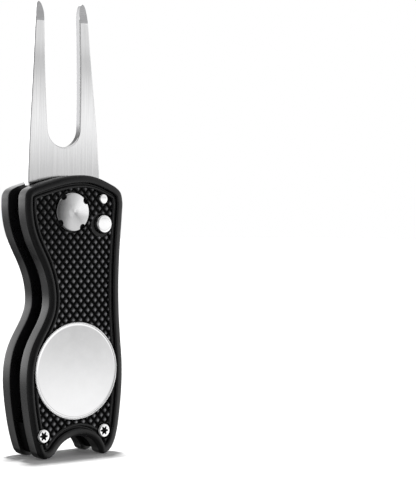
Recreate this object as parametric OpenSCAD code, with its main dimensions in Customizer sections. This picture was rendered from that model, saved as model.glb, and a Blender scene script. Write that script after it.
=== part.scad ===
// Folding divot repair tool with a spring fork, a release button and a lift-off ball marker.
// The tool stands upright with its fork open. Z is up, X is across the handle, Y is its thickness,
// and the decorated front faces -Y. The origin is the bottom centre of the whole tool.

/* [Handle] */
// Thickness of each handle scale
scale_thick = 3.9; // [3:0.1:5]
// Gap between the two scales, where the fork folds
fork_gap = 4.8; // [4:0.1:6]
// Width of the smooth raised rim around each scale
rim_width = 2.0; // [1.5:0.1:2.6]
// Width of the dark groove inside the rim
groove_width = 0.55; // [0.3:0.05:0.8]
// Depth of the groove below the rim
groove_depth = 0.6; // [0.3:0.05:0.9]
// Width of the thin ledge between the groove and the panel
ledge_width = 0.7; // [0.4:0.05:1]
// Depth of the ledge below the rim
ledge_depth = 0.25; // [0.1:0.05:0.5]
// Depth of the sunken panel below the rim
panel_depth = 0.65; // [0.4:0.05:1]

/* [Fork] */
// Thickness of the fork plate
fork_thick = 2.0; // [1.5:0.1:2.5]
// Radius of the round bottom of the slot between the tines
slot_radius = 5.0; // [4.5:0.1:6]
// Height of the slot centre above the pivot
slot_z = 21.7; // [20:0.1:26]
// Sideways offset of the fork's centre line at the pivot
fork_offset = 0.7; // [0:0.1:1]
// Lean of the open fork towards the waist side, in degrees
fork_lean = 1.5; // [0:0.5:3]
// Height above the pivot at which the ground tips start
bevel_z = 49; // [44:0.5:51]
// Thickness left at the end of the ground tips
tip_thick = 1.4; // [0.5:0.1:1.6]
// Radius of the round tang around the pivot
tang_radius = 6.75; // [6:0.05:7]

/* [Ball marker] */
// Radius of the lift-off ball marker
marker_radius = 12.5; // [11:0.1:12.5]
// Thickness of the ball marker
marker_thick = 1.5; // [1:0.1:1.8]
// Radial gap between the marker and its pocket
marker_gap = 0.2; // [0.1:0.05:0.4]
// Radius of the magnet under the marker
magnet_radius = 5; // [3:0.5:6]
// Thickness of the magnet
magnet_thick = 1.5; // [1:0.1:1.7]

/* [Pivot] */
// Radius of the pivot pin barrel
pivot_radius = 2.4; // [2:0.1:3]
// Radius of the round pivot cap
cap_radius = 5.0; // [4:0.1:5.5]
// Thickness of the pivot cap
cap_thick = 1.3; // [1:0.1:1.5]
// Radius of the four notches in the rim of the cap
cap_notch_radius = 0.9; // [0.5:0.1:1.1]
// Running clearance between turning parts
run_gap = 0.05; // [0.03:0.01:0.08]

/* [Button and pins] */
// Radius of the release button
button_radius = 2.3; // [2:0.05:2.4]
// Height of the button above the rim when it is not pressed
button_up = 0.1; // [0:0.1:1]
// Radius of the stop pin
stop_radius = 1.27; // [1:0.01:1.4]
// Radius of the tail screw heads
screw_head_radius = 1.75; // [1.5:0.05:1.9]
// Radius of the tail screw shanks
screw_radius = 1.0; // [0.8:0.05:1.1]

/* [Hidden] */

black = [0.05, 0.05, 0.055];
dark_grey = [0.12, 0.12, 0.13];
plate_steel = [0.75, 0.76, 0.77];
pin_steel = [0.70, 0.71, 0.72];
cap_steel = [0.78, 0.79, 0.80];
bright_steel = [0.80, 0.81, 0.82];
spring_steel = [0.62, 0.63, 0.65];
magnet_grey = [0.60, 0.60, 0.62];
brass = [0.72, 0.58, 0.30];

over = 1;          // how far cutters run past a face
flush_gap = 0.01;  // parts held between two faces
fit_gap = 0.02;    // close fits
seat_gap = 0.05;   // parts resting on a floor or shoulder
end_gap = 0.1;     // ends of pins and screws in their holes
head_gap = 0.3;    // radial gap round the cap and the screw heads

// depths (Y), counted from the front rim plane
front_inner = scale_thick;             // inner face of the front scale
rear_inner = scale_thick + fork_gap;   // inner face of the rear scale
rear_rim = 2 * scale_thick + fork_gap;
fork_front = front_inner + (fork_gap - fork_thick) / 2;
fork_rear = fork_front + fork_thick;
marker_front = 0.15;
marker_floor = marker_front + marker_thick + seat_gap;
magnet_floor = marker_floor + magnet_thick + 2 * seat_gap;
cap_rear = 0.2 + cap_thick;
cap_stub_end = 2.9;
pivot_screw_seat = rear_rim - 1.5;
screw_recess = 1.6;
flange_rear = front_inner + 1.0;       // flange of the release button

// bottoms of the blind holes in the rear scale
stop_floor = rear_inner + 2.2;
anchor_floor = rear_inner + 1.7;
button_floor = rear_inner + 1.5;
screw_floor = rear_inner + 3.0;

// radii
bushing_radius = 2.88;
cap_stub_radius = 0.88;
pivot_screw_radius = 0.98;
anchor_radius = 0.6;
flange_radius = button_radius + 0.3;

// places [x, z], counted from the pivot axis
pivot_place = [0, 0];
stop_place = [9.38, 3.52];
button_place = [9.4, -2.97];
marker_place = [1.36, -40.72];
screw_places = [[-8.54, -56.77], [10.12, -56.75]];
anchor_place = [-6.12, 1.09];
hook_place = [0.9, 5.2];  // end of the fork spring in the fork

// pivot axis at the front rim plane, in the frame of the whole tool
pivot_at = [-0.71, -(rear_rim - button_up) / 2, 62.81];

// outline of the handle [x, z] from the pivot axis, running clockwise from the top left
handle_points = [
  [-14.2, 4.3], [-13.45, 5.45], [-12.1, 6.2], [-9.9, 6.95], [-6.9, 7.85], [-3.5, 8.75],
  [0.7, 9.4], [5.0, 9.42], [8.5, 8.65], [11.7, 7.4], [13.5, 6.55], [14.9, 5.3],
  [15.5, 3.2], [15.4, -0.65], [15.0, -6.0], [14.65, -12], [14.5, -18], [14.66, -25.5],
  [15.25, -33.4], [15.75, -39], [15.82, -43], [15.6, -47.5], [15.15, -52], [14.36, -57],
  [13.5, -59.8], [12.3, -61.7], [11.0, -62.6], [9.84, -62.81], [8.9, -62.3], [8.2, -61.0],
  [6.89, -59.28], [4.6, -57.96], [2.0, -57.5], [-0.6, -57.96], [-2.7, -59.05],
  [-4.2, -60.5], [-5.5, -61.9], [-7.3, -62.65], [-8.9, -62.45], [-10.0, -61.5],
  [-10.7, -59.9], [-11.45, -57.5], [-12.1, -54.9], [-12.75, -51.4], [-13.35, -47],
  [-13.6, -42.3], [-13.3, -38.6], [-12.6, -35.7], [-11.5, -33.05], [-10.2, -30.7],
  [-9.0, -28.7], [-8.0, -26.7], [-7.3, -24.6], [-7.1, -22.2], [-7.35, -19.5],
  [-8.1, -16.5], [-9.5, -13.1], [-11.0, -10.3], [-12.4, -7.5], [-13.5, -4.5],
  [-14.2, -1.0], [-14.4, 2.2]];

// right tine [x, z] from the fork's centre line: up the outside, round the tip, down the slot
tine_points = [
  [11.0, 7.4], [10.9, 11], [10.62, 16], [10.08, 23.7], [9.46, 31], [8.85, 38.5],
  [8.3, 46], [8.05, 49], [7.82, 51.1], [7.68, 52.1],
  [7.5, 52.95], [7.28, 53.53], [7.02, 53.85], [6.75, 53.93], [6.48, 53.83],
  [6.08, 53.37], [5.75, 52.6],
  [5.48, 51.4], [5.4, 49.5], [5.43, 46], [5.42, 38.5], [5.33, 31], [5.15, 25]];
tip_z = 53.7;  // height at which the ground tips reach tip_thick

// smooth closed curve through the points (cubic Hermite), with steps segments for each span
function hermite(start, end, length, start_slope, end_slope, t) =
  (2*pow(t,3) - 3*pow(t,2) + 1) * start
  + (pow(t,3) - 2*pow(t,2) + t) * length * start_slope
  + (-2*pow(t,3) + 3*pow(t,2)) * end
  + (pow(t,3) - pow(t,2)) * length * end_slope;
function slope_at(points, i) =
  let(count = len(points),
      back = points[i] - points[(i + count - 1) % count],
      ahead = points[(i + 1) % count] - points[i],
      back_len = norm(back), ahead_len = norm(ahead))
  (ahead / ahead_len * back_len + back / back_len * ahead_len) / (back_len + ahead_len);
function smooth(points, steps) =
  let(slopes = [for (i = [0 : len(points) - 1]) slope_at(points, i)])
  [for (i = [0 : len(points) - 1], k = [0 : steps - 1])
    let(j = (i + 1) % len(points))
    hermite(points[i], points[j], norm(points[j] - points[i]), slopes[i], slopes[j], k / steps)];

// distance from a point to a segment, and to a closed outline
function segment_dist(point, start, end) =
  let(run = end - start, t = max(0, min(1, ((point - start) * run) / (run * run))))
  norm(point - start - t * run);
function edge_dist(point, outline) =
  min([for (i = [0 : len(outline) - 1])
    segment_dist(point, outline[i], outline[(i + 1) % len(outline)])]);

// clockwise outline moved inwards; points that land too close to another edge are left out
function inset(outline, distance) =
  [for (i = [0 : len(outline) - 1])
    let(count = len(outline),
        along = unit(outline[(i + 1) % count] - outline[(i + count - 1) % count]),
        moved = outline[i] + distance * [along[1], -along[0]])
    if (edge_dist(moved, outline) > distance - 0.02) moved];

function unit(v) = v / norm(v);
// point at a place [x, z] and a depth y
function at(place, y) = [place[0], y, place[1]];
function polar(radius, angle) = radius * [cos(angle), sin(angle)];

handle_outline = smooth(handle_points, 2);
rim_inner = inset(handle_outline, rim_width);
groove_inner = inset(handle_outline, rim_width + groove_width);
panel_outline = inset(handle_outline, rim_width + groove_width + ledge_width);
spacer_outline = inset(handle_outline, 1.0);

// flat shape in [x, z], thickened between two depths
module slab(front, rear) {
  translate([0, rear, 0]) rotate([90, 0, 0]) linear_extrude(rear - front) children();
}
// round bar along the thickness of the tool
module bar(place, radius, front, rear) {
  translate(at(place, front)) rotate([-90, 0, 0]) cylinder(r = radius, h = rear - front, $fn = 96);
}
// turned part along the thickness of the tool; its profile is [radius, depth]
module turned(place, profile) {
  translate(at(place, 0)) rotate([-90, 0, 0]) rotate_extrude($fn = 96) polygon(profile);
}
// parts are drawn from the pivot axis and the front rim plane, and moved to their place here
module placed() { translate(pivot_at) children(); }

// ring that turns on the pivot pin, between two faces with a gap at each
module pivot_ring(radius, front, rear, front_gap, rear_gap) {
  difference() {
    bar(pivot_place, radius, front + front_gap, rear - rear_gap);
    bar(pivot_place, pivot_radius + run_gap, front - over, rear + over);
  }
}

// normals along a path, each carried over from the one before so the wire doesn't twist
function carry(normal, tangent) = unit(normal - (normal * tangent) * tangent);
function normals_from(tangents, i, normal) =
  i == len(tangents) ? [] :
  let(next = carry(normal, tangents[i])) concat([next], normals_from(tangents, i + 1, next));
// eight-sided wire along a path, closed at both ends
module wire(path, radius) {
  sides = 8;
  last = len(path) - 1;
  tangents = [for (i = [0 : last]) unit(path[min(i + 1, last)] - path[max(i - 1, 0)])];
  normals = normals_from(tangents, 0, [0.31, 0.17, 0.93]);
  points = [for (i = [0 : last], k = [0 : sides - 1])
    let(turn = polar(radius, 360 * k / sides))
    path[i] + turn[0] * normals[i] + turn[1] * cross(tangents[i], normals[i])];
  walls = [for (i = [0 : last - 1], k = [0 : sides - 1], half = [0, 1])
    let(a = i * sides + k, b = i * sides + (k + 1) % sides)
    half == 0 ? [a, b + sides, b] : [a, a + sides, b + sides]];
  start_face = [for (k = [0 : sides - 1]) k];
  end_face = [for (k = [sides - 1 : -1 : 0]) last * sides + k];
  polyhedron(points, concat([start_face], walls, [end_face]), convexity = 8);
}

// six-lobed recess
module star(radius) {
  union() {
    circle(r = radius * 0.78, $fn = 48);
    for (a = [0 : 60 : 300])
      rotate(a) translate([radius * 0.72, 0]) circle(r = radius * 0.28, $fn = 24);
  }
}

// one scale with its rim, groove, ledge and sunken panel; the rim faces -Y
module scale_body() {
  difference() {
    slab(0, scale_thick) polygon(handle_outline);
    difference() {
      slab(-over, groove_depth) polygon(rim_inner);
      slab(-2 * over, groove_depth + over) polygon(groove_inner);
    }
    slab(-over, ledge_depth) polygon(groove_inner);
    slab(-over, panel_depth) polygon(panel_outline);
  }
}

module front_scale() {
  through = scale_thick + over;
  color(black) placed() difference() {
    scale_body();
    bar(marker_place, marker_radius + marker_gap, -over, marker_floor);
    bar(marker_place, magnet_radius + seat_gap, 0, magnet_floor);
    bar(pivot_place, cap_radius + head_gap, -over, cap_rear + seat_gap);
    bar(pivot_place, pivot_radius + fit_gap, -over, through);
    bar(button_place, button_radius + run_gap, -over, through);
    bar(stop_place, stop_radius + fit_gap, -over, through);
    for (place = screw_places) {
      bar(place, screw_head_radius + head_gap, -over, screw_recess);
      bar(place, screw_radius + 0.1, -over, through);
    }
  }
}

module rear_scale() {
  start = rear_inner - over;
  color(black) placed() difference() {
    translate([0, rear_rim, 0]) mirror([0, 1, 0]) scale_body();
    bar(pivot_place, 3.3, pivot_screw_seat, rear_rim + over);
    bar(pivot_place, pivot_radius + fit_gap, start, rear_rim + over);
    bar(stop_place, stop_radius + fit_gap, start, stop_floor);
    bar(anchor_place, anchor_radius + fit_gap, start, anchor_floor);
    bar(button_place, 1.95, start, button_floor);
    for (place = screw_places) bar(place, screw_radius + fit_gap, start, screw_floor);
  }
}

// spacer round the tail notch, with a spine up the straight edge
module back_spacer() {
  spine_x = 12.2;
  color(dark_grey) placed() difference() {
    slab(front_inner + flush_gap, rear_inner - flush_gap) intersection() {
      polygon(spacer_outline);
      polygon([[-20, -70], [20, -70], [20, -12], [12.6, -12], [12.4, -30], [spine_x, -50],
               [-20, -50]]);
      // below the pivot, less a round space about it that ends at the spine
      difference() {
        translate([-30, -80]) square([60, 80]);
        intersection() {
          circle(r = 54.9, $fn = 240);
          translate([-60, -60]) square([60 + spine_x, 60]);
        }
      }
    }
    for (place = screw_places)
      bar(place, screw_radius + 0.1, front_inner - over, rear_inner + over);
  }
}

// flat plate with two tines, a round tang and ground tips
module fork() {
  slot_arc = [for (a = [0 : 7.5 : 180]) [slot_radius * cos(a), slot_z - slot_radius * sin(a)]];
  left_tine = [for (i = [len(tine_points) - 1 : -1 : 0]) [-tine_points[i][0], tine_points[i][1]]];
  // lower edges of the shoulders; the left one clears the button flange when folded
  right_z = stop_place[1] + 0.74;
  left_z = -button_place[1] + flange_radius + 0.1;
  color(plate_steel) placed() difference() {
    slab(fork_front, fork_rear) difference() {
      union() {
        translate([fork_offset, 0]) rotate(fork_lean)
          polygon(concat(tine_points, slot_arc, left_tine));
        polygon([[4, right_z], [10.4, right_z], [11.0, right_z + 0.7], [11.3, 8.1], [-10.45, 7.6],
                 [-10.4, left_z + 0.8], [-9.8, left_z], [-4, left_z]]);
        circle(r = tang_radius, $fn = 96);
      }
      circle(r = bushing_radius + fit_gap, $fn = 96);
      translate(stop_place) circle(r = stop_radius + 0.04, $fn = 64);
      translate(hook_place) circle(r = 0.4, $fn = 32);
    }
    // tips ground on the front face
    translate([fork_offset, fork_front, 0]) rotate([0, -fork_lean, 0]) translate([0, 0, bevel_z])
      rotate([-atan((fork_thick - tip_thick) / (tip_z - bevel_z)), 0, 0])
        translate([-20, -10, 0]) cube([40, 10, 12]);
  }
}

module fork_bushing() {
  color(brass) placed()
    pivot_ring(bushing_radius, fork_front, fork_rear, flush_gap, flush_gap);
}

// barrel, bored for the pivot screw and for the stub of the cap
module pivot_pin() {
  color(pin_steel) placed() difference() {
    bar(pivot_place, pivot_radius, cap_rear + fit_gap, pivot_screw_seat - seat_gap);
    bar(pivot_place, pivot_screw_radius + fit_gap, rear_rim - 6, rear_rim);
    bar(pivot_place, cap_stub_radius + fit_gap, 0, cap_stub_end + end_gap);
  }
}

// domed cap with a notched rim and a stub behind it
module pivot_cap() {
  color(cap_steel) placed() difference() {
    union() {
      turned(pivot_place, [[0, 0.32], [0.7, 0.28], [1.1, 0.06], [1.5, 0.0], [2.4, 0.06],
        [4.4, 0.33], [cap_radius - 0.15, 0.43], [cap_radius, 0.6], [cap_radius, cap_rear],
        [0, cap_rear]]);
      bar(pivot_place, cap_stub_radius, cap_rear - 0.2, cap_stub_end);
    }
    for (a = [37 : 90 : 307])
      bar(polar(cap_radius, a), cap_notch_radius, -over, cap_rear + over);
  }
}

module pivot_screw() {
  head_radius = 3.2;
  head_rear = rear_rim - 0.25;
  color(cap_steel) placed() difference() {
    union() {
      turned(pivot_place, [[0, pivot_screw_seat], [head_radius, pivot_screw_seat],
        [head_radius, head_rear - 0.25], [head_radius - 0.3, head_rear], [0, head_rear]]);
      bar(pivot_place, pivot_screw_radius, rear_rim - 5.5, pivot_screw_seat + 0.1);
    }
    slab(rear_rim - 1.0, rear_rim + over) star(1.25);
  }
}

module front_washer() {
  color(brass) placed() pivot_ring(5.2, front_inner, fork_front, fit_gap, 0.03);
}

module rear_washer() {
  color(brass) placed() pivot_ring(3.4, fork_rear, rear_inner, 0.03, fit_gap);
}

// torsion spring: one end in the fork, the other on the anchor pin
module fork_spring() {
  coil_radius = 3.9;
  coil_start = 55;
  coil_turn = 435;
  coil_end = coil_start + coil_turn;
  steps = 40;
  front = fork_rear + 0.38;
  rear = rear_inner - 0.38;
  hook = [at(hook_place, fork_rear - 0.8), at(hook_place, fork_rear - 0.2),
          [0.92, front - 0.22, 5.18], [1.1, front - 0.03, 5.08], [1.5, front, 4.85],
          [1.95, front, 4.5]];
  coil = [for (i = [1 : steps])
    at(polar(coil_radius, coil_start + coil_turn * i / steps), front + (rear - front) * i / steps)];
  // straight leg, tangent to the end of the coil
  leg = [for (reach = [1.2, 2.6, 4.0, 5.2])
    at(polar(coil_radius, coil_end) + polar(reach, coil_end + 90), rear)];
  color(spring_steel) placed() wire(concat(hook, coil, leg), 0.25);
}

module spring_anchor_pin() {
  color(pin_steel) placed()
    bar(anchor_place, anchor_radius, fork_rear + 0.12, anchor_floor - seat_gap);
}

module stop_pin() {
  rear = stop_floor - end_gap;
  color(bright_steel) placed() turned(stop_place, [[0, 0.38], [stop_radius - 0.15, 0.42],
    [stop_radius, 0.55], [stop_radius, rear], [0, rear]]);
}

// button with a rounded face, a flange behind the front scale and a stem
module release_button() {
  face = -button_up;
  flange_front = front_inner + seat_gap;
  stem_radius = 1.2;
  stem_rear = front_inner + 2.3;
  color(bright_steel) placed() turned(button_place, [[0, face], [1.3, face + 0.03],
    [button_radius - 0.35, face + 0.12], [button_radius - 0.1, face + 0.28],
    [button_radius, face + 0.5], [button_radius, flange_front], [flange_radius, flange_front],
    [flange_radius, flange_rear], [stem_radius, flange_rear], [stem_radius, stem_rear],
    [0, stem_rear]]);
}

module button_spring() {
  wire_radius = 0.15;
  turn_steps = 18;
  steps = 6 * turn_steps;  // six turns
  front = flange_rear + wire_radius + fit_gap;
  rear = button_floor - wire_radius - fit_gap;
  path = [for (i = [0 : steps])
    at(button_place + polar(1.55, 360 * i / turn_steps), front + (rear - front) * i / steps)];
  color(spring_steel) placed() wire(path, wire_radius);
}

module tail_screw() {
  head_rear = screw_recess - seat_gap;
  difference() {
    union() {
      turned([0, 0], [[0, 0.25], [screw_head_radius - 0.3, 0.3], [screw_head_radius - 0.08, 0.45],
        [screw_head_radius, 0.7], [screw_head_radius, head_rear], [0, head_rear]]);
      bar([0, 0], screw_radius, 1.4, screw_floor - end_gap);
    }
    slab(-over, 1.15) star(1.15);
  }
}

module tail_screws() {
  color(bright_steel) placed() for (place = screw_places) translate(at(place, 0)) tail_screw();
}

module ball_marker() {
  rear = marker_front + marker_thick;
  color(plate_steel) placed() turned(marker_place, [[0, marker_front],
    [marker_radius - 0.35, marker_front], [marker_radius, marker_front + 0.3],
    [marker_radius, rear], [0, rear]]);
}

module marker_magnet() {
  color(magnet_grey) placed()
    bar(marker_place, magnet_radius, marker_floor + seat_gap, magnet_floor - seat_gap);
}

front_scale();
rear_scale();
back_spacer();
fork();
fork_bushing();
pivot_pin();
pivot_cap();
pivot_screw();
front_washer();
rear_washer();
fork_spring();
spring_anchor_pin();
stop_pin();
release_button();
button_spring();
tail_screws();
ball_marker();
marker_magnet();
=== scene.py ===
"""A golfer's folding divot tool with a ball marker, standing upright with its fork open.

Front and rear scales make the handle; the fork turns in it about a pivot pin.
Axes: +X right, +Z up, and the thickness runs along +Y from the front face to the rear.
Shapes are drawn in mm as (x, depth, z): x and z from the pivot, depth back from the front rim.
"""
import bpy, bmesh, math
import numpy as np
from mathutils import Vector, Matrix
from mathutils.geometry import tessellate_polygon


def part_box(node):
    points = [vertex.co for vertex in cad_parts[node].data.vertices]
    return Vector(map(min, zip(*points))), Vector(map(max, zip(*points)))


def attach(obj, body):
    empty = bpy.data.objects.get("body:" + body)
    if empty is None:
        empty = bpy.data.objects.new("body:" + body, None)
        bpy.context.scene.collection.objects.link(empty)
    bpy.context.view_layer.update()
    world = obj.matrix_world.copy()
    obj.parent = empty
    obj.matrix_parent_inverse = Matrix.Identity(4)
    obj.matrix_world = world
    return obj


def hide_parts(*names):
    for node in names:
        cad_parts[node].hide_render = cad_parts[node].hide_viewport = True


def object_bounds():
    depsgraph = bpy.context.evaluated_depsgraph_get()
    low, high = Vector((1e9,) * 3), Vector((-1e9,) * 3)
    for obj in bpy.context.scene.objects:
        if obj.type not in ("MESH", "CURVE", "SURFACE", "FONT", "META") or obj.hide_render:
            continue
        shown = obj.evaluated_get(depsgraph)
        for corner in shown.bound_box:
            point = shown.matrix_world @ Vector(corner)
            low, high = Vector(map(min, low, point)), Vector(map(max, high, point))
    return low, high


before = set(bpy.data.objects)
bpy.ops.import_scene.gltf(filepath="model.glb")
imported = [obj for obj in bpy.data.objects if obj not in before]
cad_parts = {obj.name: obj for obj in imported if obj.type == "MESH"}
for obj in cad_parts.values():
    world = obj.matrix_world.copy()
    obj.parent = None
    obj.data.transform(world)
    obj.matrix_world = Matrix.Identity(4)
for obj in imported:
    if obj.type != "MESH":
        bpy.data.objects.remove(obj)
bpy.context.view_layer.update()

# ---------------------------------------------------------------- places taken from the frame
MM = 1000.0                    # mm in a metre


def middle(node):
    low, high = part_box(node)
    return (low + high) / 2


pivot = middle("pivot_pin")
front_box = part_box("front_scale")
rear_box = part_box("rear_scale")
fork_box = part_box("fork")
PIVOT_X, PIVOT_Z = pivot.x * MM, pivot.z * MM
FRONT_Y = front_box[0].y * MM                              # plane of the front rim
FRONT_INNER = (front_box[1].y - front_box[0].y) * MM       # inner face of the front scale
REAR_INNER = (rear_box[0].y - front_box[0].y) * MM
THICKNESS = (rear_box[1].y - front_box[0].y) * MM
FORK_FRONT = fork_box[0].y * MM - FRONT_Y
FORK_BACK = fork_box[1].y * MM - FRONT_Y


def from_pivot(node):
    centre = middle(node)
    return (centre.x * MM - PIVOT_X, centre.z * MM - PIVOT_Z)


PIVOT = (0, 0)
MARKER = from_pivot("ball_marker")
STOP = from_pivot("stop_pin")
BUTTON = from_pivot("release_button")
ANCHOR = from_pivot("spring_anchor_pin")
screw_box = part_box("tail_screws")
head_radius = (screw_box[1].z - screw_box[0].z) * MM / 2
screw_z = (screw_box[0].z + screw_box[1].z) * MM / 2 - PIVOT_Z
SCREWS = [(screw_box[0].x * MM - PIVOT_X + head_radius, screw_z),
          (screw_box[1].x * MM - PIVOT_X - head_radius, screw_z)]


def point(x, depth, z):
    """Scene position, in metres, of a drawn point."""
    return Vector(((x + PIVOT_X) / MM, (depth + FRONT_Y) / MM, (z + PIVOT_Z) / MM))


def point_from_rear(x, depth, z):
    """The same with depth measured forward from the rear rim."""
    return point(x, THICKNESS - depth, z)


def face_place(face):
    """Drawn (x, depth, z) of the centre of a face."""
    centre = face.center
    return (centre.x * MM - PIVOT_X, centre.y * MM - FRONT_Y, centre.z * MM - PIVOT_Z)


# ---------------------------------------------------------------- flat outlines, all clockwise
def smooth_closed(points, steps):
    """A closed cubic curve through the points."""
    points = np.array(points, float)
    before, after = np.roll(points, 1, 0), np.roll(points, -1, 0)
    back = np.linalg.norm(points - before, axis=1)[:, None]
    ahead = np.linalg.norm(after - points, axis=1)[:, None]
    slope = ((after - points) / ahead * back + (points - before) / back * ahead) / (back + ahead)
    curve = []
    for i in range(len(points)):
        j = (i + 1) % len(points)
        for k in range(steps):
            t = k / steps
            curve.append((2*t**3 - 3*t**2 + 1) * points[i]
                         + (t**3 - 2*t**2 + t) * ahead[i] * slope[i]
                         + (-2*t**3 + 3*t**2) * points[j]
                         + (t**3 - t**2) * ahead[i] * slope[j])
    return np.array(curve)


def resample(outline, step):
    closed = np.vstack([outline, outline[:1]])
    lengths = np.linalg.norm(np.diff(closed, axis=0), axis=1)
    travel = np.concatenate([[0], np.cumsum(lengths)])
    count = max(12, int(round(travel[-1] / step)))
    stations = np.linspace(0, travel[-1], count, endpoint=False)
    return np.stack([np.interp(stations, travel, closed[:, 0]),
                     np.interp(stations, travel, closed[:, 1])], 1)


def inset(outline, distance, step=0.3):
    """Move an outline inward, leaving out points that come too near to another part of it."""
    if abs(distance) < 1e-9:
        return resample(outline, step)
    along = np.roll(outline, -1, 0) - np.roll(outline, 1, 0)
    along /= np.linalg.norm(along, axis=1)[:, None]
    moved = outline + distance * np.stack([along[:, 1], -along[:, 0]], 1)
    keep = np.ones(len(moved), bool)
    block, slack = 256, 0.012
    for i in range(0, len(moved), block):
        gaps = moved[i:i+block, None, :] - outline[None, :, :]
        keep[i:i+block] = np.linalg.norm(gaps, axis=2).min(1) > abs(distance) - slack
    return resample(moved[keep], step)


def inside(points, outline):
    """Even-odd test of points against a closed outline."""
    start, end = outline, np.roll(outline, -1, 0)
    result = np.zeros(len(points), bool)
    for k, (x, z) in enumerate(points):
        spans = (start[:, 1] > z) != (end[:, 1] > z)
        a, b = start[spans], end[spans]
        crossings = a[:, 0] + (z - a[:, 1]) * (b[:, 0] - a[:, 0]) / (b[:, 1] - a[:, 1])
        result[k] = (crossings > x).sum() % 2 == 1
    return result


# ---------------------------------------------------------------- mesh helpers
def new_object(name, mesh):
    made = bpy.data.objects.new(name, mesh)
    bpy.context.scene.collection.objects.link(made)
    return made


def bridge(ring_a, ring_b, start_a, start_b):
    """Triangles between two closed rings that run the same way."""
    count_a, count_b = len(ring_a), len(ring_b)
    offset = int(np.argmin(np.linalg.norm(ring_b - ring_a[0], axis=1)))
    i = j = 0
    faces = []
    while i < count_a or j < count_b:
        a, next_a = i % count_a, (i + 1) % count_a
        b, next_b = (offset + j) % count_b, (offset + j + 1) % count_b
        cost_a = np.linalg.norm(ring_a[next_a] - ring_b[b]) if i < count_a else 1e9
        cost_b = np.linalg.norm(ring_b[next_b] - ring_a[a]) if j < count_b else 1e9
        if cost_a <= cost_b:
            faces.append((start_a + a, start_a + next_a, start_b + b))
            i += 1
        else:
            faces.append((start_a + a, start_b + next_b, start_b + b))
            j += 1
    return faces


def cap_faces(ring, start):
    triangles = tessellate_polygon([[Vector((x, z, 0)) for x, z in ring]])
    return [tuple(start + k for k in triangle) for triangle in triangles]


def make(name, verts, faces):
    mesh = bpy.data.meshes.new(name)
    mesh.from_pydata([tuple(v) for v in verts], [], faces)
    bm = bmesh.new()
    bm.from_mesh(mesh)
    bmesh.ops.remove_doubles(bm, verts=bm.verts, dist=2e-7)
    bmesh.ops.dissolve_degenerate(bm, edges=bm.edges, dist=1e-7)
    bmesh.ops.recalc_face_normals(bm, faces=bm.faces)
    bm.to_mesh(mesh)
    bm.free()
    return new_object(name, mesh)


def stack(name, rings, at=point):
    """Closed solid from rings of (outline, depth); the first and last are filled."""
    verts, faces, starts = [], [], []
    for outline, depth in rings:
        starts.append(len(verts))
        verts += [at(x, depth, z) for x, z in outline]
    for k in range(len(rings) - 1):
        ring_a, ring_b = rings[k][0], rings[k + 1][0]
        a, b = starts[k], starts[k + 1]
        if len(ring_a) == len(ring_b) and np.abs(ring_a - ring_b).max() < 1e-9:
            n = len(ring_a)
            faces += [(a + i, a + (i + 1) % n, b + (i + 1) % n, b + i) for i in range(n)]
        else:
            faces += bridge(ring_a, ring_b, a, b)
    faces += cap_faces(rings[0][0], starts[0]) + cap_faces(rings[-1][0], starts[-1])
    return make(name, verts, faces)


def lathe(name, profile, centre, segments=128, at=point):
    """Closed solid turned about Y from (radius, depth) points that start and end on the axis."""
    verts, faces, rows = [], [], []
    for radius, depth in profile:
        if radius < 1e-9:
            rows.append([len(verts)])
            verts.append(at(centre[0], depth, centre[1]))
        else:
            rows.append(list(range(len(verts), len(verts) + segments)))
            for k in range(segments):
                angle = 2*math.pi*k/segments
                verts.append(at(centre[0] + radius * math.cos(angle), depth,
                                centre[1] + radius * math.sin(angle)))
    for a, b in zip(rows[:-1], rows[1:]):
        for k in range(segments):
            k2 = (k + 1) % segments
            if len(a) == 1:
                faces.append((a[0], b[k], b[k2]))
            elif len(b) == 1:
                faces.append((a[k], b[0], a[k2]))
            else:
                faces.append((a[k], b[k], b[k2], a[k2]))
    return make(name, verts, faces)


def plug(profile, centre, segments, at=point):
    """Turned solid with flat ends, used to cut or add."""
    ends = (0, profile[0][1]), (0, profile[-1][1])
    return lathe("plug", [ends[0], *profile, ends[1]], centre, segments, at)


def join(objects, name):
    bm = bmesh.new()
    for part in objects:
        bm.from_mesh(part.data)
    mesh = bpy.data.meshes.new(name)
    bm.to_mesh(mesh)
    bm.free()
    for part in objects:
        bpy.data.objects.remove(part)
    return new_object(name, mesh)


def apply_modifiers(target):
    depsgraph = bpy.context.evaluated_depsgraph_get()
    mesh = bpy.data.meshes.new_from_object(target.evaluated_get(depsgraph))
    target.modifiers.clear()
    target.data = mesh


def boolean(target, tool, operation):
    modifier = target.modifiers.new("boolean", "BOOLEAN")
    modifier.operation, modifier.solver, modifier.object = operation, "EXACT", tool
    apply_modifiers(target)
    bpy.data.objects.remove(tool)


def shade(target, limit=32, flat_faces=False):
    """Smooth shading with edges sharper than the limit, in degrees, kept sharp."""
    bm = bmesh.new()
    bm.from_mesh(target.data)
    for face in bm.faces:
        face.smooth = True
    for edge in bm.edges:
        edge.smooth = len(edge.link_faces) == 2 and edge.calc_face_angle(0) < math.radians(limit)
        if flat_faces and edge.smooth and edge.calc_face_angle(0) > math.radians(1.5):
            # a broad flat face keeps its own normals beside a narrow rounding
            area_a, area_b = (face.calc_area() for face in edge.link_faces)
            if max(area_a, area_b) > 5 * min(area_a, area_b):
                edge.smooth = False
    bm.to_mesh(target.data)
    bm.free()


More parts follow.
